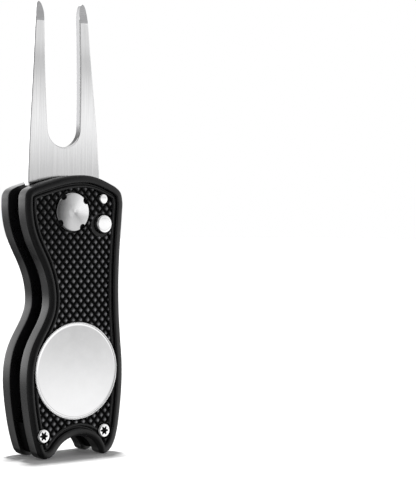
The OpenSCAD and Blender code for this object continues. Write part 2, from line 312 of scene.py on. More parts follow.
def from_cad(node, bevel):
    """Copy of a CAD node with its sharp edges broken by a bevel in mm."""
    name = "vis_" + node
    bm = bmesh.new()
    bm.from_mesh(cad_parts[node].data)
    bmesh.ops.remove_doubles(bm, verts=bm.verts, dist=1e-7)
    bmesh.ops.dissolve_limit(bm, angle_limit=math.radians(0.5), verts=bm.verts, edges=bm.edges)
    mesh = bpy.data.meshes.new(name)
    bm.to_mesh(mesh)
    bm.free()
    part = new_object(name, mesh)
    modifier = part.modifiers.new("bevel", "BEVEL")
    modifier.width, modifier.segments = bevel / MM, 2
    modifier.limit_method, modifier.angle_limit = "ANGLE", math.radians(35)
    modifier.use_clamp_overlap = True
    apply_modifiers(part)
    shade(part)
    return part


def paint(part, *materials):
    part.data.materials.clear()
    for material in materials:
        part.data.materials.append(material.block)


def place(part, body, node):
    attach(part, body)
    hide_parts(node)


# ---------------------------------------------------------------- shader graphs
class Graph:
    """Adds nodes to a node tree. A node's inputs are given sockets to link or plain values."""

    def __init__(self, tree):
        self.tree = tree

    def feed(self, node, inputs):
        for key, value in inputs.items():
            if isinstance(value, bpy.types.NodeSocket):
                self.tree.links.new(value, node.inputs[key])
            else:
                node.inputs[key].default_value = value

    def add(self, kind, inputs={}, **settings):
        node = self.tree.nodes.new("ShaderNode" + kind)
        for name, value in settings.items():
            setattr(node, name, value)
        self.feed(node, inputs)
        return node

    def math(self, operation, *values):
        return self.add("Math", dict(enumerate(values)), operation=operation).outputs[0]

    def vector(self, operation, *values):
        node = self.add("VectorMath", dict(enumerate(values)), operation=operation)
        return node.outputs["Value" if operation in ("DOT_PRODUCT", "LENGTH") else "Vector"]

    def map_range(self, value, source, target=(0.0, 1.0), interpolation="LINEAR"):
        inputs = {"Value": value, "From Min": source[0], "From Max": source[1],
                  "To Min": target[0], "To Max": target[1]}
        return self.add("MapRange", inputs, interpolation_type=interpolation).outputs["Result"]

    def ramp(self, factor, stops):
        """Colour ramp over stops of (position, grey level or colour)."""
        def rgba(color):
            return (color, color, color, 1) if isinstance(color, (int, float)) else (*color, 1)

        node = self.add("ValToRGB", {"Fac": factor})
        elements = node.color_ramp.elements
        for index in (1, 0):
            position, color = stops[-index]
            elements[index].position, elements[index].color = position, rgba(color)
        for position, color in stops[1:-1]:
            elements.new(position).color = rgba(color)
        return node.outputs["Color"]

    def lookup(self, value, span, stops, value_span=None):
        """Ramp with stops placed in units of span, which covers value_span of the value."""
        low, high = span
        factor = self.map_range(value, value_span or span)
        return self.ramp(factor, [((spot - low) / (high - low), level) for spot, level in stops])


class Material(Graph):
    def __init__(self, name):
        self.block = bpy.data.materials.new(name)
        self.block.use_nodes = True
        super().__init__(self.block.node_tree)
        self.bsdf = self.tree.nodes["Principled BSDF"]
        self.coords = self.add("TexCoord").outputs["Object"]

    def surface(self, inputs):
        self.feed(self.bsdf, inputs)

    def noise(self, scale, detail, roughness=0.5, stretch=None, vector=None):
        vector = vector or self.coords
        if stretch is not None:
            mapping = self.add("Mapping", {"Scale": stretch, "Vector": vector})
            vector = mapping.outputs["Vector"]
        inputs = {"Scale": scale, "Detail": detail, "Roughness": roughness, "Vector": vector}
        return self.add("TexNoise", inputs).outputs["Fac"]

    def mottle(self, noise, low, high):
        return self.ramp(noise, [(0.3, low), (0.7, high)])

    def bump(self, distance, *heights):
        """Bump by the sum of the heights, over a distance in metres."""
        height = heights[0]
        for extra in heights[1:]:
            height = self.math("ADD", height, extra)
        node = self.add("Bump", {"Strength": 1.0, "Distance": distance, "Height": height})
        self.surface({"Normal": node.outputs["Normal"]})

    def tint(self, factor):
        """Multiply the base colour."""
        base = self.bsdf.inputs["Base Color"].links[0].from_socket
        self.surface({"Base Color": self.vector("MULTIPLY", base, factor)})


def scaled(color, factor):
    return tuple(min(1, channel * factor) for channel in color)


# ---------------------------------------------------------------- materials
def black_paint():
    paint = Material("satin_black_paint")
    cloud = paint.noise(scale=260, detail=3)
    grit = paint.noise(scale=5200, detail=2, roughness=0.6)
    paint.surface({
        "Base Color": paint.mottle(cloud, (0.0022, 0.0022, 0.0026), (0.0040, 0.0040, 0.0046)),
        "Roughness": paint.ramp(cloud, [(0.25, 0.23), (0.75, 0.33)]),
        "Specular IOR Level": 0.38})
    paint.bump(0.0000045, grit)
    return paint


def panel_paint():
    """Paint of the pyramid panels, with painted highlights on the tops and painted shade in the
    valleys.
    """
    paint = Material("panel_paint_painted_highlights")
    valley, crest = 0.86, 0.47               # depths below either rim that bound the fade
    y = paint.add("SeparateXYZ", {0: paint.coords}).outputs["Y"]
    off_middle = paint.math("SUBTRACT", y, (FRONT_Y + THICKNESS / 2) / MM)
    height = paint.map_range(paint.math("ABSOLUTE", off_middle),
                             ((THICKNESS / 2 - valley) / MM, (THICKNESS / 2 - crest) / MM))
    # painted highlight: the tops brighten slowly toward the lower right
    slant = paint.vector("DOT_PRODUCT", paint.coords, (0.6, 0, -0.8))
    pivot_slant = 0.6 * PIVOT_X / MM - 0.8 * PIVOT_Z / MM
    painted_sheen_gain = paint.map_range(slant, (pivot_slant - 0.009, pivot_slant + 0.012), (0.62, 1.0))
    # base colour: painted shade in the valleys, painted highlights on the pyramid tops
    paint.surface({
        "Base Color": paint.ramp(paint.math("MULTIPLY", height, painted_sheen_gain), [
            (0.0, (0.0008, 0.0008, 0.001)), (0.40, (0.0026, 0.0026, 0.003)),
            (0.62, (0.022, 0.022, 0.0245)), (0.80, (0.09, 0.09, 0.096)),
            (1.0, (0.20, 0.20, 0.21))]),
        "Roughness": paint.ramp(height, [(0.0, 0.5), (1.0, 0.22)]),
        "Specular IOR Level": paint.ramp(height, [(0.0, 0.08), (0.45, 0.35), (1.0, 0.75)])})
    paint.bump(0.000004, paint.noise(scale=5200, detail=2, roughness=0.6))
    return paint


def brushed(name, color, roughness, grain, depth=0.000004, anisotropy=0.0):
    """Brushed metal; grain is the noise frequency along x, y and z."""
    metal = Material(name)
    fine = metal.noise(scale=1, detail=3, roughness=0.6, stretch=grain)
    coarse = metal.noise(scale=1, detail=2, stretch=tuple(s * 0.22 for s in grain))
    metal.surface({
        "Base Color": metal.mottle(fine, scaled(color, 0.90), scaled(color, 1.06)),
        "Roughness": metal.mottle(coarse, roughness * 0.85, roughness * 1.2),
        "Metallic": 1.0})
    if anisotropy:
        tangent = metal.add("CombineXYZ", {"X": 1.0}).outputs[0]
        metal.surface({"Anisotropic": anisotropy, "Tangent": tangent})
    metal.bump(depth, fine, coarse)
    return metal


def turned(name, color, roughness, ring_scale, depth, anisotropy):
    """Turned metal with fine rings about the pivot axis."""
    metal = Material(name)
    offset = metal.vector("SUBTRACT", metal.coords, point(0, 0, 0))
    outward = metal.vector("MULTIPLY", offset, (1, 0, 1))
    radius = metal.add("CombineXYZ", {0: metal.vector("LENGTH", outward)}).outputs[0]
    rings = metal.noise(scale=ring_scale, detail=3, roughness=0.6, vector=radius)
    # the rings blur reflections across them, so the tangent points away from the centre
    metal.surface({
        "Base Color": metal.mottle(rings, scaled(color, 0.88), scaled(color, 1.05)),
        "Metallic": 1.0,
        "Roughness": roughness,
        "Anisotropic": anisotropy,
        "Tangent": metal.vector("NORMALIZE", outward)})
    metal.bump(depth, rings)
    return metal


def polished(name, color, roughness, metallic=1.0):
    metal = Material(name)
    cloud = metal.noise(scale=420, detail=3)
    scratches = metal.noise(scale=3000, detail=2, roughness=0.7)
    metal.surface({
        "Base Color": metal.mottle(cloud, scaled(color, 0.97), color),
        "Roughness": metal.mottle(cloud, roughness * 0.8, roughness * 1.3),
        "Metallic": metallic})
    metal.bump(0.0000006, scratches)
    return metal


def plastic(name, color, roughness):
    resin = Material(name)
    cloud = resin.noise(scale=300, detail=3)
    grain = resin.noise(scale=4200, detail=3, roughness=0.6)
    resin.surface({
        "Base Color": resin.mottle(cloud, scaled(color, 0.85), scaled(color, 1.15)),
        "Roughness": resin.mottle(grain, roughness * 0.9, roughness * 1.1)})
    resin.bump(0.000012, grain)
    return resin


def add_painted_bands(metal, stops):
    """Painted reflection bands, light and dark, up the fork; stops are (mm above the pivot,
    factor).
    """
    coords = metal.add("TexCoord").outputs["Object"]
    z = metal.add("SeparateXYZ", {0: coords}).outputs["Z"]
    low, high = stops[0][0], stops[-1][0]
    metal.tint(metal.lookup(z, (low, high), stops, (point(0, 0, low).z, point(0, 0, high).z)))


def add_painted_fans(metal, around, across):
    """Painted reflection fans from the centre and painted shade toward the left: factors by
    degrees from +X and by mm across in x.
    """
    coords = metal.add("TexCoord").outputs["Object"]
    split = metal.add("SeparateXYZ", {0: coords})
    centre = point(0, 0, 0)
    x = metal.math("SUBTRACT", split.outputs["X"], centre.x)
    z = metal.math("SUBTRACT", split.outputs["Z"], centre.z)
    angle = metal.math("ARCTAN2", z, x)
    metal.tint(metal.lookup(angle, (-180, 180), around, (-math.pi, math.pi)))
    low, high = across[0][0], across[-1][0]
    metal.tint(metal.lookup(x, (low, high), across, (low * 0.001, high * 0.001)))


PAINT = black_paint()
PANEL = panel_paint()
FORK = brushed("brushed_fork_steel_painted_bands", color=(0.87, 0.87, 0.875), roughness=0.14,
               grain=(5200, 5200, 60), depth=0.0000009, anisotropy=0.75)
# painted reflection bands up the brushed fork
add_painted_bands(FORK, [
    (0, 0.84), (8.5, 0.80), (10.5, 0.85), (13.1, 0.95), (15.6, 1.02), (19.5, 1.07),
    (23.3, 1.08), (27.2, 1.05), (31, 1.0), (33.6, 0.98), (37.2, 0.90), (39.5, 0.90),
    (41.8, 1.01), (43.8, 1.07), (46.4, 1.04), (50, 0.98)])
GROUND = brushed("ground_tip_steel_painted_highlight", color=(0.66, 0.66, 0.67), roughness=0.30,
                 grain=(300, 300, 5200))
# painted highlight line across the ground tips where the bevel starts
add_painted_bands(GROUND, [(0, 1.0), (47.2, 1.0), (47.7, 1.32), (48.6, 1.06), (50, 0.95), (53, 1.02),
                   (54, 1.0)])
# slot walls: dark steel with painted shade and reflection, darkest at the bottom of the slot
SLOT_WALL_SHADE = brushed("slot_wall_steel_painted_shade", color=(0.25, 0.25, 0.254), roughness=0.26,
                 grain=(500, 4200, 300), depth=0.000003)
add_painted_bands(SLOT_WALL_SHADE, [(10, 0.10), (18.5, 0.10), (21.0, 0.35), (23.0, 1.0), (54, 1.0)])
# painted highlight: a pale, half-metallic rough white for the raised edge of the marker
MARKER_EDGE_HIGHLIGHT = polished("marker_edge_painted_highlight", color=(0.97, 0.97, 0.975), roughness=0.5, metallic=0.35)
CAP = turned("turned_cap_steel_painted_fans", color=(0.63, 0.63, 0.635), roughness=0.21,
             ring_scale=9000, depth=0.0000016, anisotropy=0.5)
# painted reflection fans on the turned cap, with painted shade toward its left edge
add_painted_fans(CAP,
         around=[(-180, 0.95), (-138, 1.08), (-112, 1.06), (-75, 0.92), (-45, 0.72),
                 (-18, 0.98), (10, 1.34), (32, 1.50), (56, 1.48), (90, 1.10), (123, 0.88),
                 (150, 0.88), (180, 0.95)],
         across=[(-5.8, 0.16), (-5.0, 0.35), (-4.4, 0.66), (-3.8, 0.97), (-3.0, 1.0),
                 (5.8, 1.0)])
MARKER_STEEL = polished("polished_marker_steel", color=(0.94, 0.94, 0.945), roughness=0.055)
CHROME = polished("polished_pin_steel", color=(0.95, 0.95, 0.955), roughness=0.07)
# painted shade for the inside of the screw drive recesses
RECESS_SHADE = plastic("painted_recess_shade", color=(0.006, 0.006, 0.0065), roughness=0.6)
SPACER = plastic("moulded_spacer", color=(0.0012, 0.0012, 0.0014), roughness=0.75)
SPACER.surface({"Specular IOR Level": 0.03})
BRONZE = turned("washer_bronze", color=(0.72, 0.52, 0.25), roughness=0.32,
                ring_scale=5000, depth=0.000003, anisotropy=0.4)
PIN = brushed("pin_steel", color=(0.62, 0.63, 0.64), roughness=0.3, grain=(900, 5000, 900))
SPRING = brushed("spring_steel", color=(0.45, 0.45, 0.47), roughness=0.3,
                 grain=(2500, 2500, 2500))
MAGNET = polished("nickel_magnet", color=(0.66, 0.65, 0.63), roughness=0.22)

# ---------------------------------------------------------------- scales
# handle outline as (x, z), from the upper left over the top
OUTLINE_POINTS = [
    (-14.2, 4.3), (-13.45, 5.45), (-12.1, 6.2), (-9.9, 6.95), (-6.9, 7.85), (-3.5, 8.75),
    (0.7, 9.4), (5.0, 9.42), (8.5, 8.65), (11.7, 7.4), (13.5, 6.55), (14.9, 5.3),
    (15.5, 3.2), (15.4, -0.65), (15.0, -6.0), (14.65, -12), (14.5, -18), (14.66, -25.5),
    (15.25, -33.4), (15.75, -39), (15.82, -43), (15.6, -47.5), (15.15, -52), (14.36, -57),
    (13.5, -59.8), (12.3, -61.7), (11.0, -62.6), (9.84, -62.81), (8.9, -62.3), (8.2, -61.0),
    (6.89, -59.28), (4.6, -57.96), (2.0, -57.5), (-0.6, -57.96), (-2.7, -59.05),
    (-4.2, -60.5), (-5.5, -61.9), (-7.3, -62.65), (-8.9, -62.45), (-10.0, -61.5),
    (-10.7, -59.9), (-11.45, -57.5), (-12.1, -54.9), (-12.75, -51.4), (-13.35, -47),
    (-13.6, -42.3), (-13.3, -38.6), (-12.6, -35.7), (-11.5, -33.05), (-10.2, -30.7),
    (-9.0, -28.7), (-8.0, -26.7), (-7.3, -24.6), (-7.1, -22.2), (-7.35, -19.5),
    (-8.1, -16.5), (-9.5, -13.1), (-11.0, -10.3), (-12.4, -7.5), (-13.5, -4.5),
    (-14.2, -1.0), (-14.4, 2.2)]
OUTLINE = resample(smooth_closed(OUTLINE_POINTS, 24), 0.12)

RIM, GROOVE, LEDGE = 2.0, 0.55, 0.68          # widths from the edge inward
PANEL_INSET = RIM + GROOVE + LEDGE
FLOOR = 0.95                                  # depth of the panel floor
# cross section as (inset from the outline, depth), from the inner face over the rim
SCALE_PROFILE = [
    (0.16, FRONT_INNER), (0.09, FRONT_INNER - 0.03), (0.05, FRONT_INNER - 0.12),
    (0.028, FRONT_INNER - 0.5), (0.012, FRONT_INNER - 1.0), (0.0, FRONT_INNER - 1.7),
    (0.0, FRONT_INNER - 2.4),
    (0.006, 0.80), (0.025, 0.64), (0.07, 0.53), (0.15, 0.445), (0.28, 0.36), (0.46, 0.265),
    (0.68, 0.18), (0.92, 0.115), (1.16, 0.07), (1.38, 0.045), (1.58, 0.04), (1.76, 0.06),
    (1.88, 0.12), (1.96, 0.26), (2.0, 0.45), (2.02, 0.74), (2.08, 0.84), (2.18, 0.88),
    (2.38, 0.88), (2.48, 0.82), (2.53, 0.62), (2.58, 0.44), (2.68, 0.36), (2.85, 0.33),
    (3.0, 0.34), (3.12, 0.39), (PANEL_INSET, 0.50), (PANEL_INSET + 0.04, 0.70),
    (PANEL_INSET + 0.06, FLOOR)]
SCALE_RINGS = [(inset(OUTLINE, distance), depth) for distance, depth in SCALE_PROFILE]
CELL_LIMIT = inset(OUTLINE, PANEL_INSET - 1.6)       # pyramids centred inside this are made
PANEL_EDGE = inset(OUTLINE, PANEL_INSET - 0.05)      # and trimmed to this

# pyramid lattice: half a cell across and up, and its shift from the pivot
CELL_X, CELL_Z = 1.125, 1.25
SHIFT_X, SHIFT_Z = 0.35, -0.2
# rings of one pyramid: reach of the corners, reach of the mid sides, depth
PYRAMID_RINGS = [(0.66, 0.74, 0.78), (0.40, 0.52, 0.60), (0.19, 0.27, 0.505)]
PYRAMID_TOP = 0.478

# cutters for the scales: centre, segments, (radius, depth) steps from the outer face in
ABOVE, THROUGH = -1, 6                        # depths clear of the outer and inner faces
FRONT_CUTS = [
    (MARKER, 224, [(12.95, ABOVE), (12.95, 0.20), (12.72, 0.42), (12.7, 0.5), (12.7, 1.7),
                   (5.05, 1.7), (5.05, 3.3)]),
    (PIVOT, 144, [(5.45, ABOVE), (5.45, 0.55), (5.3, 0.72), (5.3, 1.56), (2.42, 1.56),
                  (2.42, THROUGH)]),
    (BUTTON, 96, [(2.62, ABOVE), (2.62, 0.98), (2.37, 1.2), (2.37, THROUGH)]),
    (STOP, 64, [(1.45, ABOVE), (1.45, 0.92), (1.29, 1.05), (1.29, THROUGH)]),
    *[(screw, 80, [(2.2, ABOVE), (2.2, 0.6), (2.05, 0.8), (2.05, 1.6), (1.1, 1.6),
                   (1.1, THROUGH)]) for screw in SCREWS]]
REAR_CUTS = [
    (PIVOT, 96, [(3.42, ABOVE), (3.42, 0.42), (3.3, 0.55), (3.3, 1.5), (2.42, 1.5),
                 (2.42, THROUGH)]),
    (STOP, 64, [(1.29, FRONT_INNER - 2.2), (1.29, THROUGH)]),
    (ANCHOR, 48, [(0.62, FRONT_INNER - 1.7), (0.62, THROUGH)]),
    (BUTTON, 64, [(1.95, FRONT_INNER - 1.5), (1.95, THROUGH)]),
    *[(screw, 48, [(1.02, FRONT_INNER - 3.0), (1.02, THROUGH)]) for screw in SCREWS]]


def pyramid_field(name, at):
    """One closed slab whose top is a staggered lattice of small rounded pyramids."""
    verts, faces, shared, walls = [], [], {}, {}

    def add_vertex(depth, x, z):
        verts.append(at(x + SHIFT_X, depth, z + SHIFT_Z))
        return len(verts) - 1

    def shared_vertex(layer, depth, x, z):
        key = (layer, round(2 * x / CELL_X), round(2 * z / CELL_Z))
        if key not in shared:
            shared[key] = add_vertex(depth, x, z)
        return shared[key]

    cells = [(i, j) for i in range(-15, 16) for j in range(-53, 10) if (i + j) % 2 == 0]
    centres = [(CELL_X * i + SHIFT_X, CELL_Z * j + SHIFT_Z) for i, j in cells]
    for (i, j), wanted in zip(cells, inside(np.array(centres), CELL_LIMIT)):
        if not wanted:
            continue
        x, z = CELL_X * i, CELL_Z * j
        corners = [(x + CELL_X, z), (x, z + CELL_Z), (x - CELL_X, z), (x, z - CELL_Z)]
        border = []
        for k in range(4):
            a, b = corners[k], corners[(k + 1) % 4]
            border += [a, ((a[0] + b[0]) / 2, (a[1] + b[1]) / 2)]
        base = [shared_vertex(0, FLOOR - 0.02, *spot) for spot in border]
        low = [shared_vertex(1, 1.5, *spot) for spot in border]
        rings = [base]
        for corner_reach, side_reach, depth in PYRAMID_RINGS:
            ring = []
            for k, (border_x, border_z) in enumerate(border):
                reach = side_reach if k % 2 else corner_reach
                ring.append(add_vertex(depth, x + (border_x - x) * reach,
                                       z + (border_z - z) * reach))
            rings.append(ring)
        top = add_vertex(PYRAMID_TOP, x, z)
        for k in range(8):
            k2 = (k + 1) % 8
            for outer, inner in zip(rings[:-1], rings[1:]):
                faces.append((outer[k], outer[k2], inner[k2], inner[k]))
            faces.append((rings[-1][k], rings[-1][k2], top))
            wall = (base[k], base[k2], low[k2], low[k])
            walls.setdefault(frozenset(wall[:2]), []).append(wall)
        faces.append(tuple(reversed(low)))
    # walls stand only where a cell has no neighbour
    faces += [sides[0] for sides in walls.values() if len(sides) == 1]
    return make(name, verts, faces)


def build_scale(node, cuts, at):
    name = "vis_" + node
    body = stack(name, SCALE_RINGS, at)
    paint(body, PAINT, PANEL)
    field = pyramid_field(name + "_field", at)
    paint(field, PAINT, PANEL)
    for face in field.data.polygons:
        face.material_index = 1
    boolean(field, stack("prism", [(PANEL_EDGE, -1.0), (PANEL_EDGE, 1.4)], at), "INTERSECT")
    if node == "front_scale":
        # a round flat in the pyramids about the button
        flat = plug([(3.1, ABOVE), (3.1, FLOOR + 0.01)],
                    (BUTTON[0] - 0.55, BUTTON[1] - 0.35), 64, at)
        boolean(field, flat, "DIFFERENCE")
    boolean(body, field, "UNION")
    cutters = [plug(steps, centre, segments, at) for centre, segments, steps in cuts]
    boolean(body, join(cutters, "cuts"), "DIFFERENCE")
    shade(body, 38)
    place(body, "handle", node)


def build_spacer():
    spacer = from_cad("back_spacer", bevel=0.12)
    paint(spacer, SPACER)
    place(spacer, "handle", "back_spacer")


# ---------------------------------------------------------------- fork
# right half of the blade as (x, z) before it leans: outer side, prong tip, slot side
OUTER_SIDE = [(11.0, 7.4), (10.9, 11), (10.62, 16), (10.08, 23.7), (9.46, 31), (8.85, 38.5),
              (8.3, 46), (8.05, 49), (7.82, 51.1), (7.68, 52.1)]
PRONG_TIP = [(7.56, 52.7), (7.42, 53.2), (7.24, 53.6), (7.02, 53.85), (6.75, 53.93),
             (6.48, 53.83), (6.2, 53.55), (5.98, 53.2), (5.78, 52.7), (5.62, 52.1)]
SLOT_SIDE = [(5.48, 51.4), (5.42, 50.6), (5.4, 49.5), (5.43, 46), (5.42, 38.5), (5.33, 31),
             (5.15, 25)]
SLOT_RADIUS, SLOT_Z = 5.0, 21.7               # round bottom of the slot
BLADE_SHIFT, LEAN = 0.7, math.radians(1.5)    # blade moves right and leans left
TANG_RADIUS = 6.75
BEVEL_Z, BEVEL_SLOPE = 49.0, 0.6 / 4.7        # ground bevel on the front of the tips
# rounded edge as (inset, distance from the face), then both faces as (inset, depth)
FORK_ROUNDING = [(0.24, 0.0), (0.13, 0.045), (0.05, 0.12), (0.0, 0.24)]
FORK_EDGE = ([(distance, FORK_FRONT + drop) for distance, drop in FORK_ROUNDING]
             + [(distance, FORK_BACK - drop) for distance, drop in reversed(FORK_ROUNDING)])


def lean(points):
    points = np.array(points, float)
    cosine, sine = math.cos(LEAN), math.sin(LEAN)
    return np.stack([BLADE_SHIFT + cosine * points[:, 0] - sine * points[:, 1],
                     sine * points[:, 0] + cosine * points[:, 1]], 1)


def fork_slab(name, outline):
    outline = resample(outline, 0.1)
    return stack(name, [(inset(outline, distance, 0.22), depth) for distance, depth in FORK_EDGE])


def tip_wedge():
    """Solid in front of the bevel plane, to grind the tips."""
    start, end, clear = BEVEL_Z - 0.4, 60, FORK_FRONT - 3
    section = [(clear, start), (FORK_FRONT - 0.4 * BEVEL_SLOPE, start),
               (FORK_FRONT + (end - BEVEL_Z) * BEVEL_SLOPE, end), (clear, end)]
    verts = []
    for side in (-20, 20):
        for depth, z in section:
            leaned_x, leaned_z = lean([(side, z)])[0]
            verts.append(point(leaned_x, depth, leaned_z))
    return make("wedge", verts, [(0, 1, 2, 3), (4, 5, 6, 7), (0, 1, 5, 4), (1, 2, 6, 5),
                                 (2, 3, 7, 6), (3, 0, 4, 7)])


def build_fork():
    side = OUTER_SIDE + PRONG_TIP + SLOT_SIDE
    slot_end = [(SLOT_RADIUS * math.cos(math.radians(angle)),
                 SLOT_Z - SLOT_RADIUS * math.sin(math.radians(angle)))
                for angle in np.arange(0, 181, 3)]
    mirrored = [(-x, z) for x, z in reversed(side)]
    fork = fork_slab("vis_fork", lean(side + slot_end + mirrored)[::-1])

    # shoulders below the blade: the right base lies by the stop pin
    right_base = STOP[1] + 0.74
    left_base = -BUTTON[1] + 2.7
    shoulders = np.array([(4, right_base), (-4, left_base), (-9.8, left_base),
                          (-10.35, left_base + 0.8), (-10.4, 7.75), (11.2, 8.15),
                          (11.0, right_base + 0.7), (10.4, right_base)], float)
    tang = plug([(TANG_RADIUS - distance, depth) for distance, depth in FORK_EDGE], PIVOT, 144)
    boolean(fork, fork_slab("shoulders", shoulders), "UNION")
    boolean(fork, tang, "UNION")
    holes = [plug([(radius, FORK_FRONT - 1), (radius, FORK_BACK + 1)], centre, segments)
             for radius, centre, segments in
             ((2.9, PIVOT, 96), (1.31, STOP, 64), (0.4, (0.9, 5.2), 32))]
    boolean(fork, join(holes, "holes"), "DIFFERENCE")
    boolean(fork, tip_wedge(), "DIFFERENCE")
    shade(fork, 30, flat_faces=True)
    paint(fork, FORK, GROUND, SLOT_WALL_SHADE)
    for face in fork.data.polygons:
        x, _, z = face_place(face)
        if z > BEVEL_Z - 0.6 and face.normal.y < -0.95 and face.normal.z > 0.08:
            face.material_index = 1
        elif z > 15 and abs(face.normal.y) < 0.2:
            # walls of the slot, not the outer sides, get the painted shade
            if abs((x - BLADE_SHIFT) * math.cos(LEAN) + z * math.sin(LEAN)) < 6.3:
                face.material_index = 2
    place(fork, "fork_arm", "fork")


# ---------------------------------------------------------------- turned parts
def build_pivot_cap():
    """Domed cap with four notches in its rim."""
    radius = 5.0
    dome = [(r, 0.06 + r * r / 52) for r in (1.75, 2.1, 2.5, 2.9, 3.3, 3.7, 4.1, 4.45, 4.7)]
    cap = lathe("vis_pivot_cap", [
        (0, 0.135), (0.35, 0.133), (0.65, 0.125), (0.95, 0.108), (1.2, 0.098), (1.45, 0.10),
        *dome, (4.84, 0.535), (4.93, 0.60), (4.98, 0.69), (radius, 0.78), (radius, 1.42),
        (4.94, 1.5), (0, 1.5)], PIVOT, 192)
    steps = [(1.06, ABOVE), (1.06, 0.30), (0.96, 0.42), (0.9, 0.58), (0.9, 2)]
    notches = [plug(steps, (radius * math.cos(math.radians(angle)),
                            radius * math.sin(math.radians(angle))), 56)
               for angle in range(37, 360, 90)]
    boolean(cap, join(notches, "notches"), "DIFFERENCE")
    shade(cap, 28)
    paint(cap, CAP)
    place(cap, "handle", "pivot_cap")


def build_button():
    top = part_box("release_button")[0].y * MM - FRONT_Y
    head = [(0, 0), (1.6, 0.005), (2.1, 0.02), (2.2, 0.05), (2.26, 0.10), (2.29, 0.17),
            (2.3, 0.28)]
    foot = [(2.3, 0.05), (2.6, 0.07), (2.6, 1.0), (1.2, 1.0), (1.2, 2.2), (1.1, 2.3), (0, 2.3)]
    button = lathe("vis_release_button",
                   [(radius, top + drop) for radius, drop in head]
                   + [(radius, FRONT_INNER + drop) for radius, drop in foot], BUTTON)
    shade(button, 40)
    paint(button, CHROME)
    place(button, "button", "release_button")


def build_stop_pin():
    pin = lathe("vis_stop_pin", [
        (0, 0.38), (0.9, 0.383), (1.15, 0.395), (1.21, 0.43), (1.25, 0.49), (1.265, 0.58),
        (1.265, REAR_INNER + 2.0), (1.15, REAR_INNER + 2.1), (0, REAR_INNER + 2.1)], STOP, 96)
    shade(pin, 40)
    paint(pin, CHROME)
    place(pin, "handle", "stop_pin")


def build_marker():
    """Polished disc whose raised edge carries a painted highlight."""
    marker = lathe("vis_ball_marker", [
        (0, 0.235), (4, 0.24), (8, 0.242), (11.6, 0.245), (12.0, 0.243), (12.1, 0.225),
        (12.18, 0.18), (12.27, 0.15), (12.36, 0.155), (12.43, 0.195), (12.48, 0.27),
        (12.5, 0.38), (12.5, 1.5), (12.4, 1.62), (12.2, 1.65), (0, 1.65)], MARKER, 256)
    shade(marker, 40)
    paint(marker, MARKER_STEEL, MARKER_EDGE_HIGHLIGHT)
    # the raised edge gets the painted highlight
    for face in marker.data.polygons:
        x, depth, z = face_place(face)
        if math.hypot(x - MARKER[0], z - MARKER[1]) > 12.05 and depth < 0.5:
            face.material_index = 1
    place(marker, "marker", "ball_marker")


# ---------------------------------------------------------------- screws
def six_lobes(radius, steps=120):
    outline = []
    for k in range(steps):
        angle = -2 * math.pi * k / steps
        reach = radius * (0.79 + 0.21 * math.cos(6 * angle))
        outline.append((reach * math.cos(angle), reach * math.sin(angle)))
    return np.array(outline)


def make_screw(name, centre, profile, drive_radius, drive_depth, at=point):
    screw = lathe(name, profile, centre, 96, at)
    drive = six_lobes(drive_radius) + np.array(centre)
    boolean(screw, stack("drive", [(drive, -1.0), (drive, drive_depth)], at), "DIFFERENCE")
    return screw


def paint_recess_shade(part, centres, radius, floor, from_rear=False):
    """Give the painted shade to the faces inside the drive recesses."""
    for face in part.data.polygons:
        x, depth, z = face_place(face)
        if from_rear:
            depth = THICKNESS - depth
        reach = min(math.hypot(x - centre[0], z - centre[1]) for centre in centres)
        if reach < radius and 0.33 < depth < floor:
            face.material_index = 1


def build_tail_screws():
    profile = [(0, 0.27), (1.2, 0.272), (1.6, 0.285), (1.67, 0.32), (1.72, 0.38),
               (1.745, 0.48), (1.75, 0.6), (1.75, 1.55), (1.0, 1.55),
               (1.0, REAR_INNER + 2.8), (0.9, REAR_INNER + 2.9), (0, REAR_INNER + 2.9)]
    screws = join([make_screw("screw", centre, profile, drive_radius=1.2, drive_depth=1.15)
                   for centre in SCREWS], "vis_tail_screws")
    shade(screws, 35)
    paint(screws, CHROME, RECESS_SHADE)
    paint_recess_shade(screws, SCREWS, radius=1.2, floor=1.3)
    place(screws, "handle", "tail_screws")


def build_pivot_screw():
    """Screw let into the rear scale at the pivot."""
    profile = [(0, 0.27), (2.4, 0.28), (2.85, 0.33), (3.05, 0.43), (3.17, 0.6), (3.2, 0.8),
               (3.2, 1.5), (0.98, 1.5), (0.98, 5.5), (0, 5.5)]
    screw = make_screw("vis_pivot_screw", PIVOT, profile, drive_radius=1.3, drive_depth=1.0,
                       at=point_from_rear)
    shade(screw, 35)
    paint(screw, CAP, RECESS_SHADE)
    paint_recess_shade(screw, [PIVOT], radius=1.32, floor=1.1, from_rear=True)
    place(screw, "handle", "pivot_screw")


# ---------------------------------------------------------------- parts kept from the CAD
# node, body, slot, material, bevel in mm
CAD_PARTS = [
    ("fork_bushing", "fork_arm", "bushing_brass", BRONZE, 0.03),
    ("pivot_pin", "handle", "pin_steel", PIN, 0.08),
    ("front_washer", "handle", "bushing_brass", BRONZE, 0.1),
    ("rear_washer", "handle", "bushing_brass", BRONZE, 0.1),
    ("spring_anchor_pin", "handle", "pin_steel", PIN, 0.08),
    ("marker_magnet", "handle", "magnet_plate", MAGNET, 0.12)]


def build_cad_parts():
    for node, body, slot, material, bevel in CAD_PARTS:
        part = from_cad(node, bevel)
        paint(part, material)
        place(part, body, node)
    for node in ("fork_spring", "button_spring"):
        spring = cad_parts[node]
        paint(spring, SPRING)
        for face in spring.data.polygons:
            face.use_smooth = True


build_scale("front_scale", FRONT_CUTS, point)
build_scale("rear_scale", REAR_CUTS, point_from_rear)
build_spacer()
build_fork()
build_pivot_cap()
build_button()
build_stop_pin()
build_marker()
build_tail_screws()
build_pivot_screw()
build_cad_parts()

# ---------------------------------------------------------------- studio
scene = bpy.context.scene


